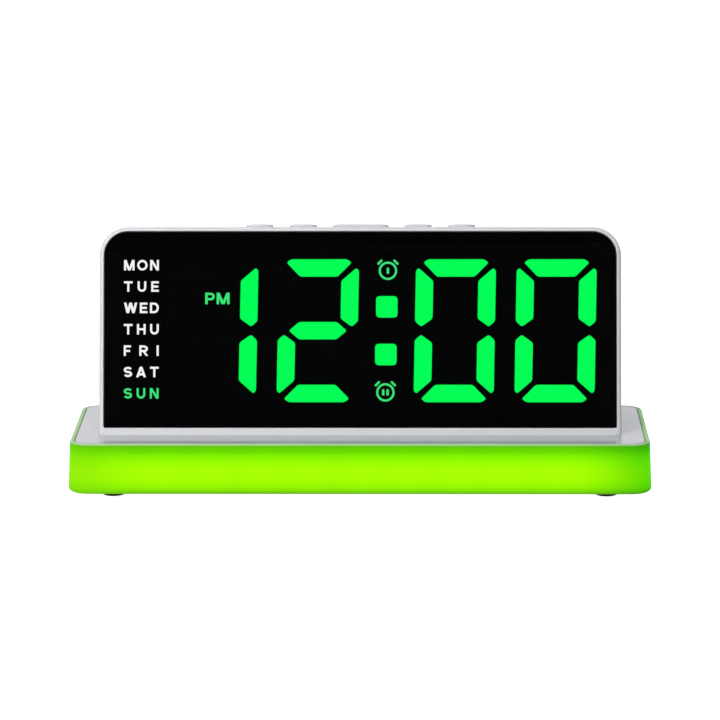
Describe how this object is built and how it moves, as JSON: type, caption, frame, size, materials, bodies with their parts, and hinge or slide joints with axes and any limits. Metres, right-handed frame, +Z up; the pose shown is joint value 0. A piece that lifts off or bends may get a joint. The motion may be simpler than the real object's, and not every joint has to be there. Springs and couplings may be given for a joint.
{
  "type": "alarm clock",
  "caption": "Bedside alarm clock: a thin white case with a dark LED window leans back on a flat base with a light-up rim; push buttons on top, battery door behind.",
  "frame": {"origin": "on the table, under the middle of the base", "axes": "+X along the width, to the right of someone facing the display; +Y towards the back; +Z up"},
  "size_m": [0.165, 0.055, 0.0737],
  "materials": {
    "light_ring": "milky acrylic lit lime green from inside, satin",
    "deck_plastic": "fine satin moulded plastic, cool white",
    "case_plastic": "fine satin moulded plastic, cool white",
    "button_plastic": "satin moulded plastic, cool white",
    "smoked_window": "smoked acrylic, polished",
    "black_foam": "black adhesive foam, matte",
    "display_film": "black film with lit green and white openings, matte",
    "white_reflector": "white moulded reflector, matte",
    "green_board": "green solder mask on glass-epoxy, semi-gloss",
    "white_board": "white solder mask, semi-gloss",
    "led_package": "white LED package, satin",
    "chip_black": "black moulding compound, matte",
    "plated_steel": "nickel-plated steel, semi-bright",
    "cell_steel": "bright stainless can",
    "plug_cream": "natural nylon, matte",
    "cable_grey": "grey PVC ribbon, matte",
    "foot_rubber": "black rubber, matte"
  },
  "bodies": {
    "clock": {"base_diffuser": "light_ring", "base_top_cover": "deck_plastic", "base_bottom_cover": "case_plastic", "foot_front_left": "foot_rubber", "foot_front_right": "foot_rubber", "foot_rear_left": "foot_rubber", "foot_rear_right": "foot_rubber", "base_screws": "plated_steel", "light_board": "white_board", "light_leds": "led_package", "light_driver_chip": "chip_black", "light_capacitor": "plated_steel", "light_plug": "plug_cream", "light_board_screws": "plated_steel", "link_cable": "cable_grey", "front_housing": "case_plastic", "housing_screws": "plated_steel", "rear_cover": "case_plastic", "rear_cover_screws": "plated_steel", "display_window": "smoked_window", "window_gasket": "black_foam", "segment_film": "display_film", "segment_mask": "white_reflector", "display_board": "green_board", "display_leds": "led_package", "display_driver_chip": "chip_black", "clock_chip": "chip_black", "clock_crystal": "plated_steel", "display_capacitor": "plated_steel", "display_plug": "plug_cream", "display_board_screws": "plated_steel", "key_board": "green_board", "key_board_screws": "plated_steel", "key_cable": "cable_grey", "switch_left_outer": "chip_black", "switch_left_inner": "chip_black", "switch_snooze": "chip_black", "switch_right_inner": "chip_black", "switch_right_outer": "chip_black", "buzzer": "chip_black", "coin_cell": "cell_steel", "battery_contact_positive": "plated_steel", "battery_contact_negative": "plated_steel", "power_board": "green_board", "power_board_screws": "plated_steel", "power_socket_shell": "plated_steel", "power_socket_tongue": "chip_black"},
    "button_left_outer": {"button_left_outer": "button_plastic", "plunger_left_outer": "plug_cream"},
    "button_left_inner": {"button_left_inner": "button_plastic", "plunger_left_inner": "plug_cream"},
    "button_snooze": {"button_snooze": "button_plastic", "plunger_snooze": "plug_cream"},
    "button_right_inner": {"button_right_inner": "button_plastic", "plunger_right_inner": "plug_cream"},
    "button_right_outer": {"button_right_outer": "button_plastic", "plunger_right_outer": "plug_cream"},
    "battery_door": {"battery_door": "case_plastic"}
  },
  "joints": [
    {"name": "button_left_outer_press", "type": "slide", "parent": "clock", "child": "button_left_outer", "axis": [0, -0.2351, -0.972], "range_m": [0, 0.0005], "stiffness_N_per_m": 600, "springref_m": -0.0006},
    {"name": "button_left_inner_press", "type": "slide", "parent": "clock", "child": "button_left_inner", "axis": [0, -0.2351, -0.972], "range_m": [0, 0.0005], "stiffness_N_per_m": 600, "springref_m": -0.0006},
    {"name": "button_snooze_press", "type": "slide", "parent": "clock", "child": "button_snooze", "axis": [0, -0.2351, -0.972], "range_m": [0, 0.0005], "stiffness_N_per_m": 600, "springref_m": -0.0006},
    {"name": "button_right_inner_press", "type": "slide", "parent": "clock", "child": "button_right_inner", "axis": [0, -0.2351, -0.972], "range_m": [0, 0.0005], "stiffness_N_per_m": 600, "springref_m": -0.0006},
    {"name": "button_right_outer_press", "type": "slide", "parent": "clock", "child": "button_right_outer", "axis": [0, -0.2351, -0.972], "range_m": [0, 0.0005], "stiffness_N_per_m": 600, "springref_m": -0.0006},
    {"name": "battery_door_pull", "type": "slide", "parent": "clock", "child": "battery_door", "axis": [0, 0.972, -0.2351], "range_m": [0, 0.012]}
  ]
}
